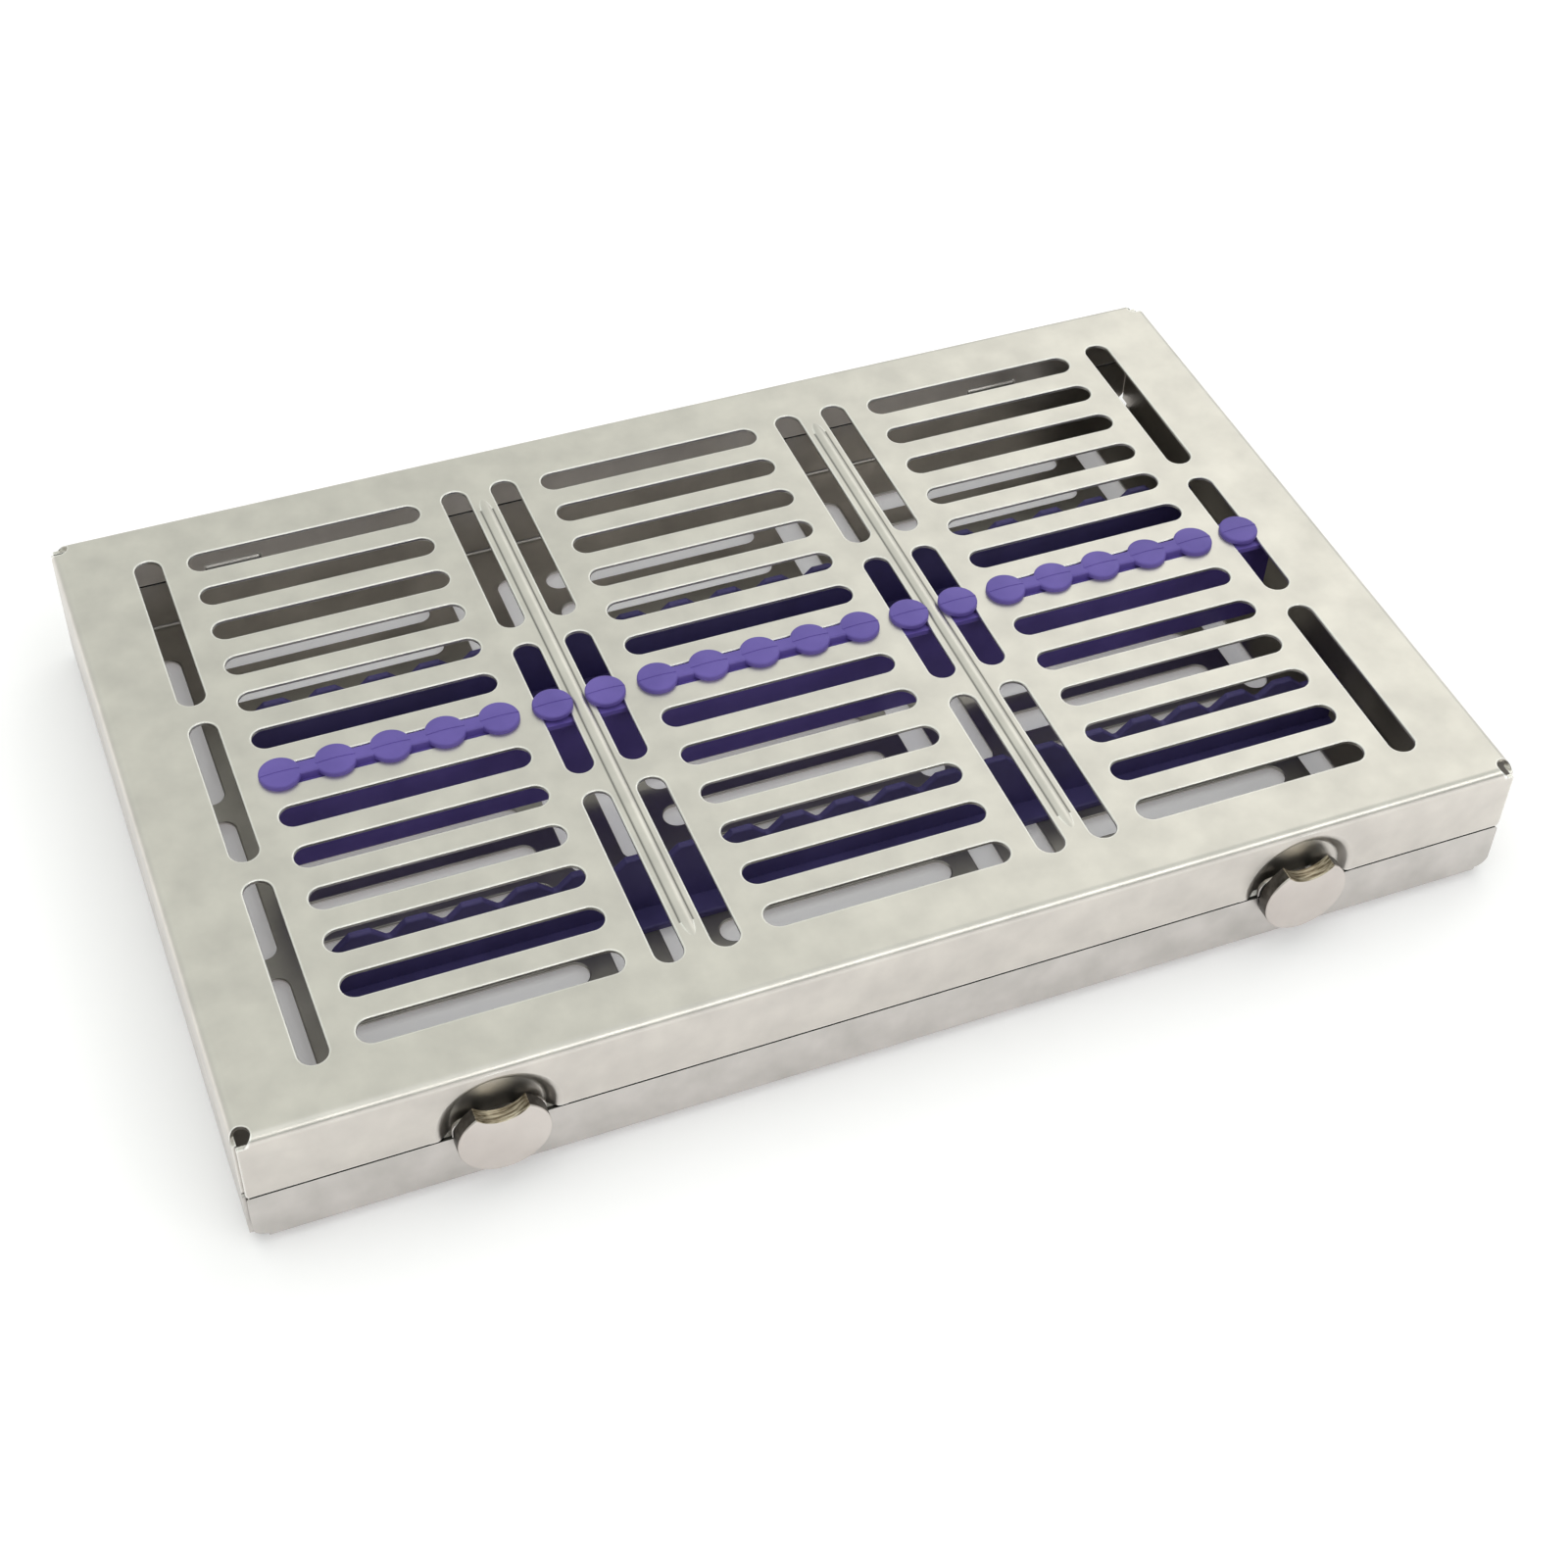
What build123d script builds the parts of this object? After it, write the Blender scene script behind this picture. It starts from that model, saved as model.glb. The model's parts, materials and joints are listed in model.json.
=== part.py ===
from build123d import *
from math import atan2, cos, radians, sin, tan
import os

# Dental instrument cassette: a slotted steel tray and a hinged lid with the same slots, two silicone
# combs on the tray's floor, a silicone hold-down strip in the lid and two sprung latches in front.
# Millimetres. +X runs along the length, +Y towards the hinges, +Z up.
# The origin lies on the table, under the middle of the tray.

# The pans, folded from sheet
LENGTH = 286.0
DEPTH = 183.0
SHEET = 1.0
BEND_RADIUS = 1.0  # inside radius of every fold
BASE_HEIGHT = 14.7  # underside of the floor to the rim of its walls
LID_HEIGHT = 18.0  # top of the lid to the rim of its walls
PARTING_GAP = 0.3  # between the two rims
RIM_ROUND = 0.25  # deburred rims of the walls
RIM_CORNER = 1.0  # upper corners of each wall
WALL_STEP = 0.6  # the long walls end this far inside the outer face of the short ones
SEAM = 0.3  # slit between the end of a short wall and the long wall
RELIEF_RADIUS = 2.0  # hole at each corner of the blank
RELIEF_SET = 2.0  # its centre from both outer faces
RELIEF_HEIGHT = 2.2  # it parts the folds up to this height
BASE_FOOT = 2.8  # rounding of the long walls' corners beside the tray's folds
LID_FOOT = 0.4  # and beside the lid's
FOOT_FLAT = 0.2  # of those corners' undersides, beyond the rounding

# The grid of slots
PITCH = 12.3
LAST_ROW = 6  # rows of long slots run from -LAST_ROW to LAST_ROW
PANELS = (-7, 0, 7)  # middles of the three panels of long slots
PANEL_REACH = 2  # a long slot's end circles stand this many pitches from its middle
SLOT_WIDTH = 6.3
COLUMNS = (-10, -4, -3, 3, 4, 10)  # columns of cross slots
COLUMN_WIDTH = 6.2
COLUMN_MIDDLE_REACH = 1.5  # end circles of a column's middle slot, in pitches
COLUMN_OUTER_START = 2.5  # end circles of its outer slots, in pitches
COLUMN_OUTER_END = 6.1
SLOT_ROUND = 0.35  # rounding of the rims of each slot

# The stamped beads on the lid
BEAD_COLUMN = 3.5  # between two columns of cross slots, in pitches
BEAD_LENGTH = 146.0
BEAD_WIDTH = 2.8
BEAD_HEIGHT = 0.5
BEAD_END_RADIUS = 40.0  # the bead sinks into the sheet along an arc
BEAD_END_TURN = 20.0  # degrees of that arc, enough to leave the sheet's top

# Silicone
BUTTON_FIRST = -9  # grid places of the first and last button
BUTTON_LAST = 10
BUTTON_RADIUS = 4.6
BUTTON_HEIGHT = 1.5
BUTTON_EDGE = 0.55
BUTTON_DOME = 0.25  # rise of the button's middle over its rounded edge
BUTTON_SEAM = 0.12  # moulding line across the buttons
BUTTON_SEAM_WIDTH = 0.4
HEAD_EDGE = 0.5  # rounding of the flat heads under the floor
LINK_WIDTH = 3.7
LINK_HEIGHT = 1.2
STEM_FIT = 0.2  # between a stem and the slot's walls
STRIP_LEFT_END = 4.6  # the strip and the combs run on past their first buttons
STRIP_RIGHT_END = 9.5  # and past their last ones
FOOT_WIDTH = 13.2
FOOT_THICKNESS = 1.6
WEB_THICKNESS = 1.8
VALLEY_Z = 17.5
PEAK_RISE = 3.3
PEAK_FLAT = 4.6
VALLEY_FLAT = 0.8
COMB_ROUND = 0.7
COMB_EDGE = 0.5
COMB_END_RISE = 5.0  # height of the comb's left end over its foot
FLANGE_WIDTH = 10.0
FLANGE_THICKNESS = 1.6
BLADE_TOP = 3.0  # thickness of the hold-down blade under the flange
BLADE_TIP = 2.0
BLADE_ROUND = 0.65
BLADE_TIP_Z = 6.0
RAIL_ROW = 3  # the combs stand on these rows of slots, front and rear

# Rear hinges, rolled from the walls
HINGE_X = 94.8
HINGE_WIDTH = 26.5
KNUCKLE_GAP = 0.35
PIN_RADIUS = 1.0
PIN_FIT = 0.05
PIN_PROUD = 0.4
PIN_ROUND = 0.35
NOTCH_GAP = 0.25  # clearance of each notch round the other pan's knuckle
CURL_END = -115.0  # where the rolled sheet ends, in degrees round the pin

# Latch knobs
LATCH_X = 91.0
KNOB_RADIUS = 9.8
KNOB_THICKNESS = 3.3
KNOB_RISE = 0.3  # knob's centre above the parting line
KNOB_STANDOFF = 0.5  # back of the knob to the wall
KNOB_EDGE = 0.4
SCALLOP_RADIUS = 6.9
SCALLOP_RISE = 12.5  # scallop's centre above the knob's
BOSS_RADIUS = 5.0
BOSS_GAP = 0.05  # boss on the knob's back to the wall
NOSE_WIDTH = 6.0
NOSE_UNDER = 1.4  # underside of the nose above the parting line
NOSE_ROOT = 1.45  # thickness at the knob
NOSE_TIP = 0.65
NOSE_PAST = 0.1  # the tip reaches this far past the dish
STEM_RADIUS = 2.5
STEM_HEIGHT = 10.0  # above the underside of the floor
STEM_SWING = 0.9  # clearance round the stem, which tips with the knob
NECK_RADIUS = 1.6
NECK_FIT = 0.05
WASHER_RADIUS = 3.2
WASHER_THICKNESS = 0.5
TAIL_RADIUS = 2.5
TAIL_THICKNESS = 0.8
TAIL_ROUND = 0.4

# Tongues of the tray's front wall, which stand behind the knobs
TONGUE_WIDTH = 19.8
TONGUE_HEIGHT = 4.8  # above the rim
TONGUE_OUTER = 3.0  # rounding of its outer corners
TONGUE_INNER = 1.0  # and of those beside its notch
TONGUE_NOTCH = 8.8  # width of the notch that the nose passes through

# Latch dishes pressed into the lid's front wall
DISH_RADIUS = 12.5
DISH_FLAT = 10.2  # radius of the dish's flat bottom
DISH_RISE = 2.2  # dish's centre above the parting line
DISH_DEPTH = 2.0
STRIKE_WIDTH = 8.0
STRIKE_SILL = 1.0  # sheet left under the strike slot
STRIKE_HEIGHT = 2.0

# Latch arms and their brackets
ARM_WIDTH = 14.0
ARM_TOP = 13.4  # above the underside of the floor
ARM_WALL_GAP = 1.9  # wall to arm
ARM_WINDOW = 6.4  # gap in the arm for the spring
ARM_WINDOW_TOP = 3.1  # above the pivot
PIVOT_HEIGHT = 3.45  # above the underside of the floor
BRACKET_SHEET = 0.8
EAR_GAP = 0.3
EAR_ABOVE = 2.25  # ear above the pivot
EAR_ROUND = 1.6
PLATE_GAP = 0.3  # rolled arm to the bracket's plate
PLATE_DEPTH = 5.2
PIVOT_HEAD_RADIUS = 1.6
PIVOT_HEAD = 0.5
PIVOT_HEAD_GAP = 0.1
RIVET_RADIUS = 1.2
RIVET_FIT = 0.03
RIVET_HEAD_RADIUS = 2.0
RIVET_HEAD = 0.7
RIVET_SPACING = 10.0

# Latch springs
WIRE_RADIUS = 0.3
KNEE_RADIUS = 0.33  # ball of metal at each bend of the wire
COIL_FIT = 0.2  # pin to the inside of the coil
COIL_PITCH = 0.75
COIL_TURNS = 6.25
LEG_GAP = 0.03  # leg to the plate or arm that it bears on
LOWER_LEG = 6.0
UPPER_LEG_ABOVE = 1.6  # end of the upper leg above the arm's window

STAND = BUTTON_HEIGHT  # the floor stands on its rows of buttons
FLOOR_TOP = STAND + SHEET
BASE_RIM = STAND + BASE_HEIGHT
PARTING_Z = BASE_RIM + PARTING_GAP / 2
LID_RIM = BASE_RIM + PARTING_GAP
LID_TOP = LID_RIM + LID_HEIGHT
LID_UNDER = LID_TOP - SHEET
FRONT = -DEPTH / 2
BORE_RADIUS = PIN_RADIUS + PIN_FIT
CURL_RADIUS = BORE_RADIUS + SHEET
KNOB_BACK = FRONT - KNOB_STANDOFF
KNOB_Z = PARTING_Z + KNOB_RISE
DISH_FLOOR = FRONT + DISH_DEPTH
ARM_FRONT = FRONT + SHEET + ARM_WALL_GAP
ARM_BACK = ARM_FRONT + SHEET
STEM_Z = STAND + STEM_HEIGHT
PIVOT_Y = ARM_FRONT + CURL_RADIUS
PIVOT_Z = STAND + PIVOT_HEIGHT
EAR_INNER = ARM_WIDTH / 2 + EAR_GAP
EAR_OUTER = EAR_INNER + BRACKET_SHEET
PLATE_FRONT = PIVOT_Y + CURL_RADIUS + PLATE_GAP
PLATE_BACK = PLATE_FRONT + PLATE_DEPTH
PLATE_TOP = FLOOR_TOP + BRACKET_SHEET
RIVET_Y = (PLATE_FRONT + PLATE_BACK) / 2
STRIP_X = (BUTTON_FIRST * PITCH - STRIP_LEFT_END, BUTTON_LAST * PITCH + STRIP_RIGHT_END)
SIDES = {"left": -1, "right": 1}
PAST = 1.0  # cutting tools run on past what they cut


def box(x, y, z):
    """A box between three pairs of limits."""
    sizes = [high - low for low, high in (x, y, z)]
    middle = [(high + low) / 2 for low, high in (x, y, z)]
    return Pos(*middle) * Box(*sizes)


def rod(radius, start, end):
    """A round rod from one point to another."""
    run = Vector(*end) - Vector(*start)
    return extrude(Plane(start, z_dir=run) * Circle(radius), run.length)


def slot_cutter(reach, width):
    """What a slot takes out of a sheet on z = 0: a stadium along X whose two rims are rounded over."""
    block = extrude(Rectangle(2 * reach + 3 * width, 3 * width), SHEET)
    plate = block - extrude(SlotCenterToCenter(2 * reach, width), SHEET)
    rims = []
    for edge in plate.edges():
        middle = edge.center()
        if abs(middle.Z - SHEET / 2) > SHEET / 4 and abs(middle.Y) < width and abs(middle.X) < reach + width:
            rims.append(edge)
    return block - fillet(rims, SLOT_ROUND)


def slots():
    """The cutters of all the slots of one pan."""
    long_slot = slot_cutter(PANEL_REACH * PITCH, SLOT_WIDTH)
    middle_slot = Rot(0, 0, 90) * slot_cutter(COLUMN_MIDDLE_REACH * PITCH, COLUMN_WIDTH)
    outer_reach = (COLUMN_OUTER_END - COLUMN_OUTER_START) / 2
    outer_slot = Rot(0, 0, 90) * slot_cutter(outer_reach * PITCH, COLUMN_WIDTH)
    outer_middle = (COLUMN_OUTER_END + COLUMN_OUTER_START) / 2
    cutters = []
    for row in range(-LAST_ROW, LAST_ROW + 1):
        for panel in PANELS:
            cutters.append(Pos(panel * PITCH, row * PITCH) * long_slot)
    for column in COLUMNS:
        cutters.append(Pos(column * PITCH, 0) * middle_slot)
        for side in (-1, 1):
            cutters.append(Pos(column * PITCH, side * outer_middle * PITCH) * outer_slot)
    return cutters


def corner_round(radius, corner, inwards, reach, along_x):
    """What rounds the upper corner of a wall off: corner is its x or y and its z, inwards points into the wall."""
    place, top = corner
    middle = place + inwards * radius
    block_run = sorted((middle, place - inwards * PAST))
    block_z = (top - radius, top + PAST)
    if along_x:
        start, end = (middle, reach[0], top - radius), (middle, reach[1], top - radius)
        return box(block_run, reach, block_z) - rod(radius, start, end)
    start, end = (reach[0], middle, top - radius), (reach[1], middle, top - radius)
    return box(reach, block_run, block_z) - rod(radius, start, end)


def pan(height, foot):
    """A slotted pan with its floor on z = 0 and its four walls apart at the corners, rounded by foot."""
    outside = box((-LENGTH / 2, LENGTH / 2), (-DEPTH / 2, DEPTH / 2), (0, height))
    outside = fillet(outside.edges().group_by(Axis.Z)[0], BEND_RADIUS + SHEET)
    half_x = LENGTH / 2 - SHEET
    half_y = DEPTH / 2 - SHEET
    inside = box((-half_x, half_x), (-half_y, half_y), (SHEET, height + PAST))
    inside = fillet(inside.edges().group_by(Axis.Z)[0], BEND_RADIUS)
    body = outside - inside
    body = fillet(body.faces().sort_by(Axis.Z)[-1].edges(), RIM_ROUND)
    end_x = LENGTH / 2 - WALL_STEP
    end_y = half_y - SEAM
    foot_start = min(LENGTH / 2 - RELIEF_SET, end_x - foot - FOOT_FLAT)
    cuts = []
    for side_x in (-1, 1):
        for side_y in (-1, 1):
            beyond_x = side_x * (LENGTH / 2 + PAST)
            beyond_y = side_y * (DEPTH / 2 + PAST)
            wall_x = sorted((side_x * half_x, beyond_x))
            wall_y = sorted((side_y * half_y, beyond_y))
            full = (-PAST, height + PAST)
            cuts.append(box(sorted((side_x * end_x, beyond_x)), sorted((side_y * end_y, beyond_y)), full))
            cuts.append(box(wall_x, sorted((side_y * end_y, side_y * half_y)), full))
            hole_x = side_x * (LENGTH / 2 - RELIEF_SET)
            hole_y = side_y * (DEPTH / 2 - RELIEF_SET)
            cuts.append(rod(RELIEF_RADIUS, (hole_x, hole_y, -PAST), (hole_x, hole_y, RELIEF_HEIGHT)))
            foot_x = sorted((side_x * foot_start, beyond_x))
            cuts.append(box(foot_x, sorted((hole_y, beyond_y)), (-PAST, RELIEF_HEIGHT)))
            cuts.append(corner_round(RIM_CORNER, (side_x * end_x, height), -side_x, wall_y, True))
            cuts.append(corner_round(RIM_CORNER, (side_y * end_y, height), -side_y, wall_x, False))
    body = body - cuts
    feet = []
    for edge in body.edges().filter_by(Axis.Y):
        middle = edge.center()
        if abs(abs(middle.X) - end_x) < 1e-3 and abs(middle.Z - RELIEF_HEIGHT) < 1e-3:
            feet.append(edge)
    body = fillet(feet, foot)
    return body - slots()


def knuckle(width, tail):
    """Sheet rolled round the X axis: it comes up the -Y side from z = -tail and curls over the top."""
    tip = (cos(radians(CURL_END)), sin(radians(CURL_END)))
    outline = [
        Polyline((-BORE_RADIUS, 0), (-BORE_RADIUS, -tail), (-CURL_RADIUS, -tail), (-CURL_RADIUS, 0)),
        CenterArc((0, 0), CURL_RADIUS, 180, CURL_END - 180),
        Line((CURL_RADIUS * tip[0], CURL_RADIUS * tip[1]), (BORE_RADIUS * tip[0], BORE_RADIUS * tip[1])),
        CenterArc((0, 0), BORE_RADIUS, CURL_END, 180 - CURL_END),
    ]
    return extrude(Plane.YZ * make_face(outline), width / 2, both=True)


def hinge_parts():
    """Knuckle halves, notches and pin of one hinge, for the tray and for the lid, about x = 0."""
    half = (HINGE_WIDTH - KNUCKLE_GAP) / 2
    offset = (HINGE_WIDTH + KNUCKLE_GAP) / 4
    reach = CURL_RADIUS + NOTCH_GAP
    roll = knuckle(half, reach)
    wall = (-CURL_RADIUS - PAST, -BORE_RADIUS + SHEET / 2)
    notch_start = -HINGE_WIDTH / 2 - NOTCH_GAP
    tray_notch = box((notch_start, HINGE_WIDTH / 2), wall, (-reach, PAST))
    lid_notch = box((-HINGE_WIDTH / 2, -notch_start), wall, (-PAST, reach))
    tray_roll = Pos(offset, 0, 0) * roll
    lid_roll = Pos(-offset, 0, 0) * mirror(roll, Plane.XY)
    end = HINGE_WIDTH / 2 + PIN_PROUD
    pin = rod(PIN_RADIUS, (-end, 0, 0), (end, 0, 0))
    pin = fillet(pin.edges().filter_by(GeomType.CIRCLE), PIN_ROUND)
    return tray_notch, tray_roll, lid_notch, lid_roll, pin


def at_hinge(shape, side):
    """A hinge piece at its place: its +X side points away from the middle of the cassette."""
    if side < 0:
        shape = mirror(shape, Plane.YZ)
    return Pos(side * HINGE_X, DEPTH / 2 + BORE_RADIUS, PARTING_Z) * shape


def dish():
    """The dish pressed inwards behind a latch knob, cut off at the lid's rim, and the disc it replaces."""
    slope = atan2(DISH_DEPTH, DISH_RADIUS - DISH_FLAT)
    shift = SHEET * tan(slope / 2)
    back = FRONT + SHEET
    rim = DISH_RADIUS + 2 * SHEET
    inner = [(DISH_FLAT, DISH_FLOOR), (DISH_RADIUS + shift, back)]
    outer = [(DISH_RADIUS, FRONT), (DISH_FLAT + shift, DISH_FLOOR + SHEET)]
    outline = Polyline(
        (0, DISH_FLOOR),
        inner[0],
        outer[0],
        (rim, FRONT),
        (rim, back),
        inner[1],
        outer[1],
        (0, DISH_FLOOR + SHEET),
        close=True,
    )
    section = make_face(outline)
    for corners, radius in ((inner, BEND_RADIUS), (outer, BEND_RADIUS + SHEET)):
        for corner in corners:
            section = fillet(section.vertices().sort_by_distance(corner)[0], radius)
    centre_z = PARTING_Z + DISH_RISE
    shell = Pos(0, 0, centre_z) * revolve(section, Axis.Y)
    reach = (-rim - PAST, rim + PAST)
    shell = shell & box(reach, (FRONT, DISH_FLOOR + SHEET + PAST), (LID_RIM, LID_TOP))
    disc = rod(rim, (0, FRONT - PAST, centre_z), (0, back, centre_z))
    strike_z = (LID_RIM + STRIKE_SILL, LID_RIM + STRIKE_SILL + STRIKE_HEIGHT)
    strike_x = (-STRIKE_WIDTH / 2, STRIKE_WIDTH / 2)
    shell -= box(strike_x, (DISH_FLOOR - PAST, DISH_FLOOR + SHEET + PAST), strike_z)
    return shell, disc


def bead_tube(thinner):
    """The round form of a stamped bead on the lid, which dips into the sheet at both ends."""
    crest = (BEAD_WIDTH**2 / 4 + BEAD_HEIGHT**2) / (2 * BEAD_HEIGHT)
    taper = (2 * (BEAD_END_RADIUS + crest) * BEAD_HEIGHT) ** 0.5
    straight = BEAD_LENGTH / 2 - taper
    middle_z = LID_TOP + BEAD_HEIGHT - crest
    radius = crest - thinner
    tube = rod(radius, (0, -straight, middle_z), (0, straight, middle_z))
    for side in (-1, 1):
        section = Plane((0, side * straight, middle_z), z_dir=(0, 1, 0)) * Circle(radius)
        turn = Axis((0, side * straight, middle_z - BEAD_END_RADIUS), (-side, 0, 0))
        tube += revolve(section, turn, BEAD_END_TURN)
    return tube


def tongue():
    """What stands up from the tray's front rim behind a knob: two ears with the nose's notch between."""
    ears = []
    for side in SIDES.values():
        inner = TONGUE_NOTCH / 2
        outer = TONGUE_WIDTH / 2
        ear_x = sorted((side * inner, side * outer))
        ear = box(ear_x, (FRONT, FRONT + SHEET), (BASE_RIM - SHEET, BASE_RIM + TONGUE_HEIGHT))
        for edge_x, radius in ((inner, TONGUE_INNER), (outer, TONGUE_OUTER)):
            corner = (side * edge_x, FRONT + SHEET / 2, BASE_RIM + TONGUE_HEIGHT)
            ear = fillet(ear.edges().filter_by(Axis.Y).sort_by_distance(corner)[0], radius)
        rims = []
        for edge in ear.edges():
            middle = edge.center()
            on_face = abs(abs(middle.Y - FRONT - SHEET / 2) - SHEET / 2) < 1e-3
            if on_face and middle.Z > BASE_RIM - SHEET / 2:
                rims.append(edge)
        ears.append(fillet(rims, RIM_ROUND))
    return ears


def base_tray(hinges):
    """The lower pan, with the tray's knuckles, the tongues and the holes of the latches."""
    body = Pos(0, 0, STAND) * pan(BASE_HEIGHT, BASE_FOOT)
    tray_notch, tray_roll = hinges[0], hinges[1]
    ears = tongue()
    for side in SIDES.values():
        body = body - at_hinge(tray_notch, side) + at_hinge(tray_roll, side)
        x = side * LATCH_X
        body += [Pos(x, 0, 0) * ear for ear in ears]
        body -= rod(STEM_RADIUS + STEM_SWING, (x, FRONT - PAST, STEM_Z), (x, FRONT + SHEET + PAST, STEM_Z))
        for rivet_x in (x - RIVET_SPACING / 2, x + RIVET_SPACING / 2):
            hole = rod(RIVET_RADIUS + RIVET_FIT, (rivet_x, RIVET_Y, 0), (rivet_x, RIVET_Y, FLOOR_TOP + PAST))
            body -= hole
    return body


def lid_cover(hinges):
    """The upper pan, with the lid's knuckles, the two beads and the two latch dishes."""
    body = Pos(0, 0, LID_TOP) * Rot(180, 0, 0) * pan(LID_HEIGHT, LID_FOOT)
    lid_notch, lid_roll = hinges[2], hinges[3]
    ridge = bead_tube(0) & box((-PITCH, PITCH), (-DEPTH, DEPTH), (LID_TOP - SHEET / 2, LID_TOP + SHEET))
    hollow = bead_tube(SHEET)
    shell, disc = dish()
    for side in SIDES.values():
        body = body - at_hinge(lid_notch, side) + at_hinge(lid_roll, side)
        bead_x = side * BEAD_COLUMN * PITCH
        body = body + Pos(bead_x, 0, 0) * ridge - Pos(bead_x, 0, 0) * hollow
        x = side * LATCH_X
        body = body - Pos(x, 0, 0) * disc + Pos(x, 0, 0) * shell
    return body


def button(height):
    """A low round silicone button on z = 0, slightly domed."""
    shoulder = height - BUTTON_DOME
    rim = BUTTON_RADIUS - BUTTON_EDGE
    outline = [
        Polyline((0, height), (0, 0), (BUTTON_RADIUS, 0), (BUTTON_RADIUS, shoulder - BUTTON_EDGE)),
        CenterArc((rim, shoulder - BUTTON_EDGE), BUTTON_EDGE, 0, 90),
        ThreePointArc((rim, shoulder), (rim / 2, height - BUTTON_DOME / 4), (0, height)),
    ]
    return revolve(Plane.XZ * make_face(outline), Axis.Z)


def domed_head():
    """A button with the raised line that its mould leaves along X."""
    seam = (-BUTTON_SEAM_WIDTH / 2, BUTTON_SEAM_WIDTH / 2)
    across = (-BUTTON_RADIUS, BUTTON_RADIUS)
    line = button(BUTTON_HEIGHT + BUTTON_SEAM) & box(across, seam, (0, 2 * BUTTON_HEIGHT))
    return button(BUTTON_HEIGHT) + line


def flat_head():
    """A button with a flat end, which the cassette stands on."""
    head = rod(BUTTON_RADIUS, (0, 0, 0), (0, 0, BUTTON_HEIGHT))
    return fillet(head.edges().filter_by(GeomType.CIRCLE).sort_by(Axis.Z)[-1], HEAD_EDGE)


def button_row(head):
    """A row of heads on a sheet whose top is z = 0, with stems and links in the sheet's slots."""
    stem_radius = min(SLOT_WIDTH, COLUMN_WIDTH) / 2 - STEM_FIT
    single = head + rod(stem_radius, (0, 0, -SHEET), (0, 0, 0))
    link = box((0, PITCH), (-LINK_WIDTH / 2, LINK_WIDTH / 2), (-SHEET, LINK_HEIGHT))
    link = fillet(link.edges().filter_by(Axis.X).group_by(Axis.Z)[-1], BUTTON_EDGE)
    row = []
    for place in range(BUTTON_FIRST, BUTTON_LAST + 1):
        row.append(Pos(place * PITCH, 0, 0) * single)
        if any(panel - PANEL_REACH <= place < panel + PANEL_REACH for panel in PANELS):
            row.append(Pos(place * PITCH, 0, 0) * link)
    return row


def hold_down_strip():
    """The lid's silicone: buttons above, a flange against the underside and a blade that hangs down."""
    flange_z = LID_UNDER - FLANGE_THICKNESS
    flange = box(STRIP_X, (-FLANGE_WIDTH / 2, FLANGE_WIDTH / 2), (flange_z, LID_UNDER))
    flange = fillet(flange.edges().filter_by(Axis.X).group_by(Axis.Z)[0], BUTTON_EDGE)
    tip = BLADE_TIP / 2
    top = BLADE_TOP / 2
    outline = Polyline((-top, flange_z), (-tip, BLADE_TIP_Z), (tip, BLADE_TIP_Z), (top, flange_z), close=True)
    section = Plane((STRIP_X[0], 0, 0), x_dir=(0, 1, 0), z_dir=(1, 0, 0)) * make_face(outline)
    blade = extrude(section, STRIP_X[1] - STRIP_X[0])
    blade = fillet(blade.edges().filter_by(Axis.X).group_by(Axis.Z)[0], BLADE_ROUND)
    return flange + blade + [Pos(0, 0, LID_TOP) * piece for piece in button_row(domed_head())]


def comb_web():
    """The upright web of a comb, with a valley for an instrument at each place of the grid."""
    low = FLOOR_TOP + FOOT_THICKNESS / 2
    end_z = FLOOR_TOP + FOOT_THICKNESS + COMB_END_RISE
    peak_z = VALLEY_Z + PEAK_RISE
    points = [(STRIP_X[0], low), (STRIP_X[0], end_z)]
    for place in range(BUTTON_FIRST, BUTTON_LAST):
        middle = (place + 0.5) * PITCH
        flank = (PITCH - VALLEY_FLAT) / 2
        points += [(middle - flank, VALLEY_Z), (middle - PEAK_FLAT / 2, peak_z)]
        points += [(middle + PEAK_FLAT / 2, peak_z), (middle + flank, VALLEY_Z)]
    points += [(STRIP_X[1], VALLEY_Z), (STRIP_X[1], low)]
    face = make_face(Polyline(*points, close=True))
    face = fillet([v for v in face.vertices() if v.Y > end_z - 0.01], COMB_ROUND)
    web = extrude(Plane.XZ * face, WEB_THICKNESS / 2, both=True)
    rims = []
    for edge in web.edges():
        middle = edge.center()
        if middle.Z > end_z and abs(abs(middle.Y) - WEB_THICKNESS / 2) < 1e-3:
            rims.append(edge)
    return fillet(rims, COMB_EDGE)


def rail():
    """A silicone comb on the floor, held by a row of buttons under it, about y = 0."""
    foot = box(STRIP_X, (-FOOT_WIDTH / 2, FOOT_WIDTH / 2), (FLOOR_TOP, FLOOR_TOP + FOOT_THICKNESS))
    foot = fillet(foot.edges().filter_by(Axis.X).group_by(Axis.Z)[-1], BUTTON_EDGE)
    under = [Pos(0, 0, STAND) * Rot(180, 0, 0) * piece for piece in button_row(flat_head())]
    return foot + comb_web() + under


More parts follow.
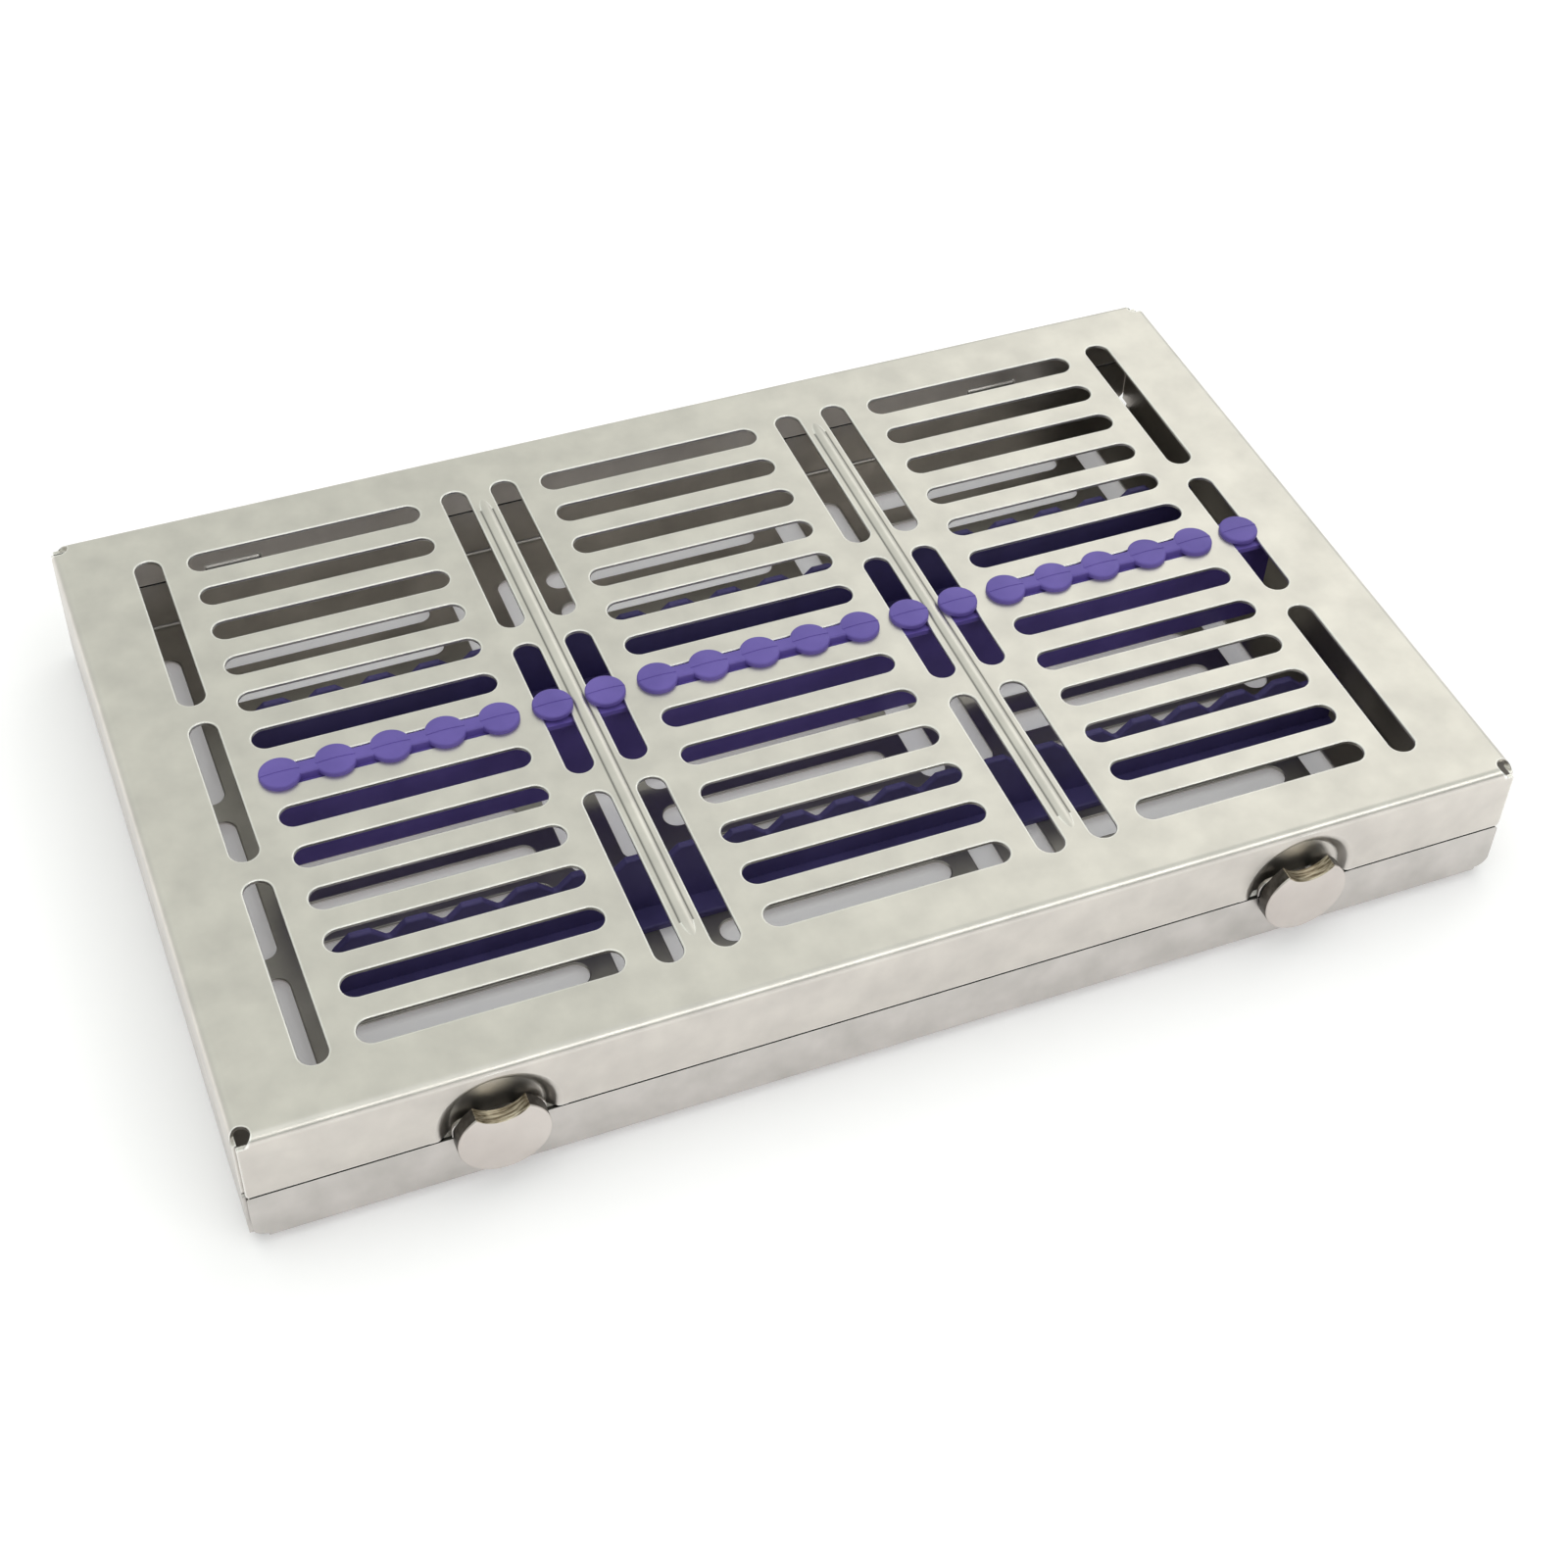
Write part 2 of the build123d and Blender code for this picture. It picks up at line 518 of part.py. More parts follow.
def latch_knob():
    """The scalloped disc, with the nose that holds the lid and the stem that the arm is fixed to."""
    front = KNOB_BACK - KNOB_THICKNESS
    scallop_z = KNOB_Z + SCALLOP_RISE
    disc = rod(KNOB_RADIUS, (0, KNOB_BACK, KNOB_Z), (0, front, KNOB_Z))
    disc -= rod(SCALLOP_RADIUS, (0, front - PAST, scallop_z), (0, KNOB_BACK + PAST, scallop_z))
    disc = fillet(disc.edges().group_by(Axis.Y)[0], KNOB_EDGE)
    root = KNOB_BACK - KNOB_THICKNESS / 4
    tip = DISH_FLOOR + SHEET + NOSE_PAST
    under = PARTING_Z + NOSE_UNDER
    side = Polyline((root, under), (tip, under), (tip, under + NOSE_TIP), (root, under + NOSE_ROOT), close=True)
    nose = extrude(Plane.YZ * make_face(side), NOSE_WIDTH / 2, both=True)
    boss = rod(BOSS_RADIUS, (0, root, STEM_Z), (0, FRONT - BOSS_GAP, STEM_Z))
    stem = rod(STEM_RADIUS, (0, root, STEM_Z), (0, ARM_FRONT, STEM_Z))
    tail_y = ARM_BACK + WASHER_THICKNESS
    neck = rod(NECK_RADIUS, (0, root, STEM_Z), (0, tail_y, STEM_Z))
    tail = rod(TAIL_RADIUS, (0, tail_y, STEM_Z), (0, tail_y + TAIL_THICKNESS, STEM_Z))
    tail = fillet(tail.edges().filter_by(GeomType.CIRCLE).sort_by(Axis.Y)[-1], TAIL_ROUND)
    return disc + nose + boss + stem + neck + tail


def latch_arm():
    """The plate behind the wall, rolled round the pivot below and cut open for the spring."""
    top = STAND + ARM_TOP
    plate = Pos(0, PIVOT_Y, PIVOT_Z) * mirror(knuckle(ARM_WIDTH, top - PIVOT_Z), Plane.XY)
    corners = plate.edges().filter_by(Axis.Y).group_by(Axis.Z)[-1]
    plate = fillet(corners, EAR_ROUND)
    window_x = (-ARM_WINDOW / 2, ARM_WINDOW / 2)
    window_y = (ARM_FRONT - PAST, PLATE_FRONT)
    plate -= box(window_x, window_y, (FLOOR_TOP - PAST, PIVOT_Z + ARM_WINDOW_TOP))
    return plate - rod(NECK_RADIUS + NECK_FIT, (0, ARM_FRONT - PAST, STEM_Z), (0, ARM_BACK + PAST, STEM_Z))


def latch_washer():
    """The washer between the arm and the peened tail."""
    end = ARM_BACK + WASHER_THICKNESS
    disc = rod(WASHER_RADIUS, (0, ARM_BACK, STEM_Z), (0, end, STEM_Z))
    return disc - rod(NECK_RADIUS + NECK_FIT, (0, ARM_BACK - PAST, STEM_Z), (0, end + PAST, STEM_Z))


def latch_bracket():
    """A plate on the floor with an ear bent up at each end, which carry the pivot."""
    ear_top = PIVOT_Z + EAR_ABOVE
    back_z = PLATE_TOP + BRACKET_SHEET
    outline = Polyline(
        (ARM_FRONT, FLOOR_TOP),
        (PLATE_BACK, FLOOR_TOP),
        (PLATE_BACK, back_z),
        (PLATE_FRONT, ear_top),
        (ARM_FRONT, ear_top),
        close=True,
    )
    face = make_face(outline)
    face = fillet([v for v in face.vertices() if v.Y > back_z + 0.01], EAR_ROUND)
    ear = extrude(Plane.YZ * face, BRACKET_SHEET)
    plate = box((-EAR_OUTER, EAR_OUTER), (PLATE_FRONT, PLATE_BACK), (FLOOR_TOP, PLATE_TOP))
    body = plate + Pos(EAR_INNER, 0, 0) * ear + Pos(-EAR_OUTER, 0, 0) * ear
    reach = EAR_OUTER + PAST
    body -= rod(BORE_RADIUS, (-reach, PIVOT_Y, PIVOT_Z), (reach, PIVOT_Y, PIVOT_Z))
    for x in (-RIVET_SPACING / 2, RIVET_SPACING / 2):
        body -= rod(RIVET_RADIUS + RIVET_FIT, (x, RIVET_Y, 0), (x, RIVET_Y, PLATE_TOP + PAST))
    return body


def latch_pin():
    """The arm's pivot, headed outside both ears."""
    reach = EAR_OUTER + PIVOT_HEAD_GAP
    pin = rod(PIN_RADIUS, (-reach, PIVOT_Y, PIVOT_Z), (reach, PIVOT_Y, PIVOT_Z))
    for side in (-1, 1):
        end = side * (reach + PIVOT_HEAD)
        pin += rod(PIVOT_HEAD_RADIUS, (side * reach, PIVOT_Y, PIVOT_Z), (end, PIVOT_Y, PIVOT_Z))
    return pin


def spring_leg(*points):
    """Wire that runs straight from point to point, with a ball where it starts and at each bend."""
    leg = None
    for first, second in zip(points, points[1:]):
        ball = Pos(*first) * Sphere(KNEE_RADIUS)
        leg = ball if leg is None else leg + ball
        leg = leg + rod(WIRE_RADIUS, first, second)
    return leg


def latch_spring():
    """A torsion spring on the pivot: its upper leg presses the arm inwards, its lower leg the plate."""
    coil_radius = PIN_RADIUS + COIL_FIT + WIRE_RADIUS
    length = COIL_PITCH * COIL_TURNS
    frame = Plane((-length / 2, 0, 0), x_dir=(0, -1, 0), z_dir=(1, 0, 0))
    turns = frame * Helix(COIL_PITCH, length, coil_radius)
    coil = sweep(Plane(turns @ 0, z_dir=turns % 0) * Circle(WIRE_RADIUS), turns)
    start, end = turns @ 0, turns @ 1
    bearing = Vector(start.X, -CURL_RADIUS - WIRE_RADIUS - LEG_GAP, ARM_WINDOW_TOP)
    upper_end = start + (bearing - start) * ((ARM_WINDOW_TOP + UPPER_LEG_ABOVE) / ARM_WINDOW_TOP)
    leg_z = PLATE_TOP + WIRE_RADIUS + LEG_GAP - PIVOT_Z
    lower_bend = Vector(end.X, CURL_RADIUS, leg_z)
    lower_end = Vector(end.X, LOWER_LEG, leg_z)
    wire = coil + spring_leg(start, upper_end) + spring_leg(end, lower_bend, lower_end)
    return Pos(0, PIVOT_Y, PIVOT_Z) * wire


def bracket_rivets():
    """The four rivets that hold the two brackets to the floor."""
    rivets = []
    for side in SIDES.values():
        for x in (-RIVET_SPACING / 2, RIVET_SPACING / 2):
            rivet = rod(RIVET_RADIUS, (0, 0, STAND - RIVET_HEAD / 2), (0, 0, PLATE_TOP + RIVET_HEAD / 2))
            for level in ((STAND - RIVET_HEAD, STAND), (PLATE_TOP, PLATE_TOP + RIVET_HEAD)):
                rivet += rod(RIVET_HEAD_RADIUS, (0, 0, level[0]), (0, 0, level[1]))
            rivets.append(Pos(side * LATCH_X + x, RIVET_Y, 0) * rivet)
    return Compound(rivets)


def parts():
    """Every piece of the cassette by name."""
    hinges = hinge_parts()
    made = {
        "base_tray": base_tray(hinges),
        "lid_cover": lid_cover(hinges),
        "hold_down_strip": hold_down_strip(),
        "front_rail": Pos(0, -RAIL_ROW * PITCH, 0) * rail(),
        "rear_rail": Pos(0, RAIL_ROW * PITCH, 0) * rail(),
        "bracket_rivets": bracket_rivets(),
    }
    latch = {
        "latch_knob": latch_knob(),
        "latch_arm": latch_arm(),
        "latch_washer": latch_washer(),
        "latch_bracket": latch_bracket(),
        "latch_pin": latch_pin(),
        "latch_spring": latch_spring(),
    }
    for name, side in SIDES.items():
        made[f"hinge_pin_{name}"] = at_hinge(hinges[4], side)
        for piece, shape in latch.items():
            made[f"{piece}_{name}"] = Pos(side * LATCH_X, 0, 0) * shape
    return made


os.makedirs("parts", exist_ok=True)
for name, shape in parts().items():
    export_step(shape, f"parts/{name}.step")
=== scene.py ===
"""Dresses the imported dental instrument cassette: satin steel, cast knobs and moulded silicone.

Everything is in metres in the part's own frame: +X along the length, +Y to the hinges, +Z up.
"""
import json

import bpy
from mathutils import Matrix, Vector


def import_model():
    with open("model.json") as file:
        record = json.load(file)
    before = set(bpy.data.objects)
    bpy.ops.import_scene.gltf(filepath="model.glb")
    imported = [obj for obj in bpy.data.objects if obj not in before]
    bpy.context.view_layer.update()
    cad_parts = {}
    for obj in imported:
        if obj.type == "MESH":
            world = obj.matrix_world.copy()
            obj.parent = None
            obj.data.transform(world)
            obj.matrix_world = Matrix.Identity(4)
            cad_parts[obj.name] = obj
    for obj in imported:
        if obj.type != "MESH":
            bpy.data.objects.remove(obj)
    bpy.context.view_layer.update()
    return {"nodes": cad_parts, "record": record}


# The camera, fitted to the slot grid: its place, and the directions of its right and up
CAMERA_PLACE = (-0.1624, -0.3940, 0.4380)
CAMERA_RIGHT = (0.92865, -0.37004, 0.02615)
CAMERA_UP = (0.25094, 0.67854, 0.69037)
CAMERA_LENS = 59.39  # mm
CAMERA_SENSOR = 36.0  # mm

# Knobs, as the frame has them, with a round scallop in their tops
LATCH_X = 0.0910
SCALLOP_Z = 0.02915  # height of the scallop's centre
SCALLOP_RADIUS = 0.0069
SCALLOP_REACH = 0.0002  # the filed skin runs this far past the scallop
KNOB_FRONT = -0.0953
KNOB_EDGE = 0.0004  # the ground face reaches this far round its edge

# The tray's inner surfaces: over this height and within this reach from the middle
TRAY_FLOOR = 0.0022
TRAY_INSIDE = (0.1423, 0.0908)

# The height where the two rims meet, and how far up and down from there their cut edges carry painted
# shade, for the shade in the gap between them
PARTING_Z = 0.01635
PARTING_SHADE_REACH = 0.00024
# painted shade at the cut edges, where the gap between lid and tray is in shade
PARTING_SHADE = (0.05, 0.048, 0.045)

# Punched and cut edges are tumbled round, and polished by handling; their lighter tint is also painted
# highlight
EDGE_ROUND = 0.00022
RIM_WIDTH = 0.0006
RIM_GAIN = 30.0  # how quickly the lighter rim tint is full as the rim turns
# lighter rim tint: polish from handling, and painted highlight where the rounding catches light
RIM_POLISH_AND_HIGHLIGHT = (0.94, 0.92, 0.89)
BEVEL_SAMPLES = 4

# The lid's top, and the painted shade in the creases on both sides of its two stamped beads
LID_TOP = 0.0345
BEAD_X = 0.04305
BEAD_REACH = 0.069
CREASE_AWAY = 0.00145  # from the bead's middle
CREASE_WIDTH = 0.00038
# painted shade in the creases beside the beads
CREASE_SHADE = (0.15, 0.14, 0.13)

# Steel sheet and wire: darkest and lightest tint, and lowest and highest roughness
STEELS = {
    "lid_steel": ((0.59, 0.555, 0.52), (0.685, 0.645, 0.60), (0.30, 0.44)),
    "tray_steel": ((0.53, 0.505, 0.48), (0.65, 0.615, 0.59), (0.28, 0.42)),
    "latch_steel": ((0.52, 0.50, 0.48), (0.62, 0.60, 0.58), (0.30, 0.42)),
    "pin_steel": ((0.56, 0.55, 0.53), (0.66, 0.65, 0.63), (0.22, 0.32)),
    "spring_steel": ((0.50, 0.48, 0.46), (0.60, 0.58, 0.56), (0.25, 0.35)),
    "rivet_steel": ((0.60, 0.58, 0.56), (0.70, 0.68, 0.66), (0.28, 0.38)),
}
TRAY_INSIDE_SHADE = ((0.38, 0.355, 0.33), (0.46, 0.43, 0.40))  # painted shade inside the tray, where little light reaches
TINT_PLACES = (0.30, 0.70)  # where the noise gives the darkest and the lightest tint

# Silicone: darkest and lightest tint
SILICONES = {
    "strip_silicone": ((0.110, 0.073, 0.330), (0.148, 0.100, 0.405)),
    "rail_silicone": ((0.070, 0.056, 0.185), (0.098, 0.078, 0.245)),
}
SILICONE_ROUGHNESS = 0.48
SILICONE_SPECULAR = 0.4

# The knobs' cast steel: colours by place in the noise
GROUND_FACE = ((0.3, (0.57, 0.52, 0.49)), (0.7, (0.69, 0.64, 0.605)))
# painted shade on the knobs' sides and back, behind the ground face
KNOB_SIDE_SHADE = ((0.35, (0.07, 0.062, 0.056)), (0.65, (0.13, 0.12, 0.11)))
FILED_SKIN = ((0.36, (0.17, 0.135, 0.09)), (0.5, (0.40, 0.34, 0.25)), (0.66, (0.70, 0.63, 0.50)))
KNOB_ROUGHNESS = (0.32, 0.44)

# Noise: cycles per metre, octaves, and for some the stretch along X, Y and Z
SHEET_CLOUDS = (110.0, 8.0)
SHEET_SMUDGES = (70.0, 5.0, (1, 1, 2.5))
SHEET_GRAIN = (3000.0, 2.0)
SILICONE_TONE = (90.0, 3.0)
SILICONE_GRAIN = (900.0, 2.0)
FACE_TONE = (60.0, 4.0)
# noise in the painted shade on the knobs' sides
SIDE_SHADE_TONE = (600.0, 4.0)
FILE_STREAKS = (420.0, 4.0, (0.6, 5, 1.6))
KNOB_SMUDGES = (120.0, 3.0)
KNOB_GRAIN = (2500.0, 2.0)

# Bumps: strength and depth
SHEET_BUMP = (0.15, 0.00002)
SILICONE_BUMP = (0.2, 0.00004)
KNOB_BUMP = (0.6, 0.0003)
KNOB_GRAIN_SHARE = 0.08  # of the streaks' depth

# The room that the steel mirrors, from the horizon to overhead: before the object and behind it
ROOM_FRONT = (
    (0.0, (0.12, 0.12, 0.12)),
    (0.12, (0.30, 0.32, 0.31)),
    (0.5, (0.60, 0.66, 0.62)),
    (0.75, (0.72, 0.78, 0.73)),
    (1.0, (0.82, 0.86, 0.83)),
)
ROOM_BACK = (
    (0.0, (0.74, 0.76, 0.74)),
    (0.5, (0.80, 0.85, 0.79)),
    (0.8, (0.88, 0.93, 0.86)),
    (1.0, (0.84, 0.88, 0.84)),
)
ROOM_TURN = 0.2  # the front gives way to the back from this far before the middle
ROOM_TURN_RATE = 1.8

# Lamps: place, target, size, watts and colour
LAMPS = {
    "key": ((1.35, 1.15, 1.35), (0.1, 0, 0), (1.5, 1.1), 3.4, (1.0, 0.985, 0.95)),
    "overhead": ((-0.7, -0.3, 1.8), (0, 0, 0), (1.6, 1.4), 4.6, (0.97, 1.0, 0.98)),
    "front": ((0.5, -1.2, 1.05), (0, 0, 0), (1.4, 0.5), 5.5, (1.0, 1.0, 0.98)),
}

# The floor, and its glow towards what sees it directly
FLOOR_HALF = 2.0
FLOOR_COLOR = (0.90, 0.87, 0.895)
FLOOR_ROUGHNESS = 0.9
FLOOR_SPECULAR = 0.1
FLOOR_GLOW = (0.17, 0.36)  # under the object and well away from it; the lower glow near and under it is painted shade
GLOW_FROM = (0.145, 0.093)  # the glow starts to rise outside this reach from the middle
GLOW_RISE = 0.05  # and is full this much further out


def shaded(name):
    """A new material, its node tree and its shader."""
    material = bpy.data.materials.new(name)
    material.use_nodes = True
    tree = material.node_tree
    tree.nodes.clear()
    out = tree.nodes.new("ShaderNodeOutputMaterial")
    shader = tree.nodes.new("ShaderNodeBsdfPrincipled")
    tree.links.new(shader.outputs["BSDF"], out.inputs["Surface"])
    return material, tree, shader


def coordinate(tree, kind="Object"):
    """Place in the part's own frame, or for the world's Generated the direction."""
    return tree.nodes.new("ShaderNodeTexCoord").outputs[kind]


def axes(tree, vector):
    """A vector's X, Y and Z."""
    split = tree.nodes.new("ShaderNodeSeparateXYZ")
    tree.links.new(vector, split.inputs["Vector"])
    return split.outputs["X"], split.outputs["Y"], split.outputs["Z"]


def noise(tree, place, scale, detail, stretch=(1, 1, 1)):
    """A noise texture in the part's own frame."""
    mapping = tree.nodes.new("ShaderNodeMapping")
    mapping.inputs["Scale"].default_value = stretch
    tree.links.new(place, mapping.inputs["Vector"])
    texture = tree.nodes.new("ShaderNodeTexNoise")
    texture.inputs["Scale"].default_value = scale
    texture.inputs["Detail"].default_value = detail
    tree.links.new(mapping.outputs["Vector"], texture.inputs["Vector"])
    return texture.outputs["Fac"]


def ramp(tree, value, stops):
    """A colour ramp with (place, (r, g, b)) stops."""
    node = tree.nodes.new("ShaderNodeValToRGB")
    elements = node.color_ramp.elements
    while len(elements) < len(stops):
        elements.new(0.5)
    for element, (place, color) in zip(elements, stops):
        element.position = place
        element.color = (*color, 1)
    tree.links.new(value, node.inputs["Fac"])
    return node.outputs["Color"]


def spread(tree, value, low, high):
    """Low for a value of 0 or less, high for 1 or more, and evenly between them."""
    node = tree.nodes.new("ShaderNodeMapRange")
    node.inputs["To Min"].default_value = low
    node.inputs["To Max"].default_value = high
    tree.links.new(value, node.inputs["Value"])
    return node.outputs["Result"]


def calculate(tree, operation, first, second=None):
    """A maths node on sockets or numbers."""
    node = tree.nodes.new("ShaderNodeMath")
    node.operation = operation
    for socket, value in zip(node.inputs, (first, second)):
        if isinstance(value, (int, float)):
            socket.default_value = value
        elif value is not None:
            tree.links.new(value, socket)
    return node.outputs["Value"]


def distance(tree, value, middle):
    """How far a value is from a number."""
    return calculate(tree, "ABSOLUTE", calculate(tree, "SUBTRACT", value, middle))


def from_middle(tree, value, reach):
    """How far a value is past this reach from 0 to either side, negative within it."""
    return calculate(tree, "SUBTRACT", calculate(tree, "ABSOLUTE", value), reach)


def length(tree, first, second):
    """The length of a vector with these two sides."""
    squares = (calculate(tree, "POWER", side, 2) for side in (first, second))
    return calculate(tree, "SQRT", calculate(tree, "ADD", *squares))


def product(tree, *factors):
    """Sockets multiplied together."""
    result, *others = factors
    for other in others:
        result = calculate(tree, "MULTIPLY", result, other)
    return result


def blend(tree, share, first, second):
    """The first colour where share is 0 and the second where it is 1. Each is a socket or (r, g, b)."""
    node = tree.nodes.new("ShaderNodeMix")
    node.data_type = "RGBA"
    tree.links.new(share, node.inputs["Factor"])
    for name, color in (("A", first), ("B", second)):
        if isinstance(color, tuple):
            node.inputs[name].default_value = (*color, 1)
        else:
            tree.links.new(color, node.inputs[name])
    return node.outputs["Result"]


def met_by(tree, *rays):
    """1 where a ray of one of these kinds meets this, and 0 otherwise."""
    path = tree.nodes.new("ShaderNodeLightPath")
    result, *others = (path.outputs[ray] for ray in rays)
    for other in others:
        result = calculate(tree, "MAXIMUM", result, other)
    return result


def rounded_normal(tree, radius):
    """The surface's normal, with edges rounded by this radius."""
    node = tree.nodes.new("ShaderNodeBevel")
    node.samples = BEVEL_SAMPLES
    node.inputs["Radius"].default_value = radius
    return node.outputs["Normal"]


def bump(tree, shader, height, strength, depth, edge=None):
    """Grain over the surface, and edges that are rounded by a radius where one is given."""
    node = tree.nodes.new("ShaderNodeBump")
    if edge:
        tree.links.new(rounded_normal(tree, edge), node.inputs["Normal"])
    node.inputs["Strength"].default_value = strength
    node.inputs["Distance"].default_value = depth
    tree.links.new(height, node.inputs["Height"])
    tree.links.new(node.outputs["Normal"], shader.inputs["Normal"])


def clouds(tree, place, pattern, dark, light):
    """A cloudy tint in a noise pattern."""
    return ramp(tree, noise(tree, place, *pattern), tuple(zip(TINT_PLACES, (dark, light))))


def rims(tree):
    """1 at the surface's edges and 0 away from them, for the lighter tint there: polish from handling,
    and painted highlight.
    """
    node = tree.nodes.new("ShaderNodeVectorMath")
    node.operation = "DOT_PRODUCT"
    tree.links.new(rounded_normal(tree, RIM_WIDTH), node.inputs[0])
    tree.links.new(tree.nodes.new("ShaderNodeNewGeometry").outputs["Normal"], node.inputs[1])
    turned = calculate(tree, "SUBTRACT", 1.0, node.outputs["Value"])
    return calculate(tree, "MINIMUM", calculate(tree, "MULTIPLY", turned, RIM_GAIN), 1.0)


def parting_shade(tree, height, color):
    """The colour, with painted shade at the two rims' cut edges, for the shade in the gap between them.
    """
    at_rims = calculate(tree, "LESS_THAN", distance(tree, height, PARTING_Z), PARTING_SHADE_REACH)
    return blend(tree, at_rims, color, PARTING_SHADE)


def lid_polish_and_painted_light(tree, place, satin):
    """Rims lighter from polish and painted highlight, painted shade in the beads' creases and painted
    shade at the cut edges.
    """
    x, y, z = axes(tree, place)
    away = distance(tree, calculate(tree, "ABSOLUTE", from_middle(tree, x, BEAD_X)), CREASE_AWAY)
    near = calculate(tree, "SUBTRACT", 1.0, calculate(tree, "DIVIDE", away, CREASE_WIDTH))
    near = calculate(tree, "MAXIMUM", near, 0.0)
    along = calculate(tree, "LESS_THAN", calculate(tree, "ABSOLUTE", y), BEAD_REACH)
    top = calculate(tree, "GREATER_THAN", z, LID_TOP - CREASE_WIDTH)
    # lighter rims: polish from handling, and painted highlight
    polished_and_highlighted = blend(tree, rims(tree), satin, RIM_POLISH_AND_HIGHLIGHT)
    # painted shade in the beads' creases, then painted shade at the cut edges
    return parting_shade(tree, z, blend(tree, product(tree, near, along, top), polished_and_highlighted, CREASE_SHADE))


def tray_painted_shade(tree, place, satin):
    """A darker tint inside the walls as painted shade, and painted shade at the cut edges."""
    x, y, z = axes(tree, place)
    within = [
        calculate(tree, "LESS_THAN", calculate(tree, "ABSOLUTE", value), reach)
        for value, reach in zip((x, y), TRAY_INSIDE)
    ]
    inside = product(tree, calculate(tree, "GREATER_THAN", z, TRAY_FLOOR), *within)
    # painted shade inside the tray
    inside_shade = clouds(tree, place, SHEET_CLOUDS, *TRAY_INSIDE_SHADE)
    return parting_shade(tree, z, blend(tree, inside, satin, inside_shade))


def steel(name, polish_and_painted_light=None, edge=None):
    """Satin stainless: cloudy tint, wiped smudges and a fine grain, and the rim polish, painted shade and
    painted highlight that the given function adds.
    """
    dark, light, roughness = STEELS[name]
    material, tree, shader = shaded(name)
    place = coordinate(tree)
    color = clouds(tree, place, SHEET_CLOUDS, dark, light)
    # adds rim polish, painted shade and painted highlight where a function is given
    if polish_and_painted_light:
        color = polish_and_painted_light(tree, place, color)
    tree.links.new(color, shader.inputs["Base Color"])
    shader.inputs["Metallic"].default_value = 1.0
    smudges = noise(tree, place, *SHEET_SMUDGES)
    tree.links.new(spread(tree, smudges, *roughness), shader.inputs["Roughness"])
    bump(tree, shader, noise(tree, place, *SHEET_GRAIN), *SHEET_BUMP, edge)
    return material


def silicone(name):
    """Moulded silicone: matt, slightly uneven in tone, with a soft skin."""
    material, tree, shader = shaded(name)
    place = coordinate(tree)
    tree.links.new(clouds(tree, place, SILICONE_TONE, *SILICONES[name]), shader.inputs["Base Color"])
    shader.inputs["Roughness"].default_value = SILICONE_ROUGHNESS
    shader.inputs["Specular IOR Level"].default_value = SILICONE_SPECULAR
    bump(tree, shader, noise(tree, place, *SILICONE_GRAIN), *SILICONE_BUMP)
    return material


def knob_steel():
    """Cast knob: a ground face, painted shade on its sides and a coarse filed skin inside the scallop."""
    material, tree, shader = shaded("knob_steel")
    place = coordinate(tree)
    x, y, z = axes(tree, place)
    away = length(tree, from_middle(tree, x, LATCH_X), calculate(tree, "SUBTRACT", z, SCALLOP_Z))
    scallop = calculate(tree, "LESS_THAN", away, SCALLOP_RADIUS + SCALLOP_REACH)
    behind = calculate(tree, "GREATER_THAN", y, KNOB_FRONT + KNOB_EDGE)
    streaks = noise(tree, place, *FILE_STREAKS)
    ground = ramp(tree, noise(tree, place, *FACE_TONE), GROUND_FACE)
    # painted shade on the knob's sides and back
    side_shade = ramp(tree, noise(tree, place, *SIDE_SHADE_TONE), KNOB_SIDE_SHADE)
    outside = blend(tree, behind, ground, side_shade)
    color = blend(tree, scallop, outside, ramp(tree, streaks, FILED_SKIN))
    tree.links.new(color, shader.inputs["Base Color"])
    shader.inputs["Metallic"].default_value = 1.0
    smudges = noise(tree, place, *KNOB_SMUDGES)
    tree.links.new(spread(tree, smudges, *KNOB_ROUGHNESS), shader.inputs["Roughness"])
    grain = calculate(tree, "MULTIPLY", noise(tree, place, *KNOB_GRAIN), KNOB_GRAIN_SHARE)
    height = calculate(tree, "ADD", product(tree, streaks, scallop), grain)
    bump(tree, shader, height, *KNOB_BUMP)
    return material


def lamp(name, place, target, size, power, color):
    """A rectangular lamp that faces its target."""
    panel = bpy.data.lights.new(name, "AREA")
    panel.shape = "RECTANGLE"
    panel.size, panel.size_y = size
    panel.energy = power
    panel.color = color
    item = bpy.data.objects.new(name, panel)
    item.location = place
    item.rotation_euler = (Vector(target) - Vector(place)).to_track_quat("-Z", "Y").to_euler()
    bpy.context.scene.collection.objects.link(item)


def world():
    """White to the camera, and to light and steel a room that is dim at the horizon in front."""
    studio = bpy.data.worlds.new("studio")
    studio.use_nodes = True
    tree = studio.node_tree
    room = tree.nodes["Background"]
    _, y, z = axes(tree, coordinate(tree, "Generated"))
    turn = calculate(tree, "MULTIPLY", calculate(tree, "ADD", y, ROOM_TURN), ROOM_TURN_RATE)
    front, back = (ramp(tree, z, stops) for stops in (ROOM_FRONT, ROOM_BACK))
    tree.links.new(blend(tree, turn, front, back), room.inputs["Color"])
    white = tree.nodes.new("ShaderNodeBackground")
    white.inputs["Color"].default_value = (1, 1, 1, 1)
    white.inputs["Strength"].default_value = 1.0
    mix = tree.nodes.new("ShaderNodeMixShader")
    tree.links.new(met_by(tree, "Is Camera Ray", "Is Transmission Ray"), mix.inputs["Fac"])
    tree.links.new(room.outputs["Background"], mix.inputs[1])
    tree.links.new(white.outputs["Background"], mix.inputs[2])
    tree.links.new(mix.outputs["Shader"], tree.nodes["World Output"].inputs["Surface"])
    bpy.context.scene.world = studio


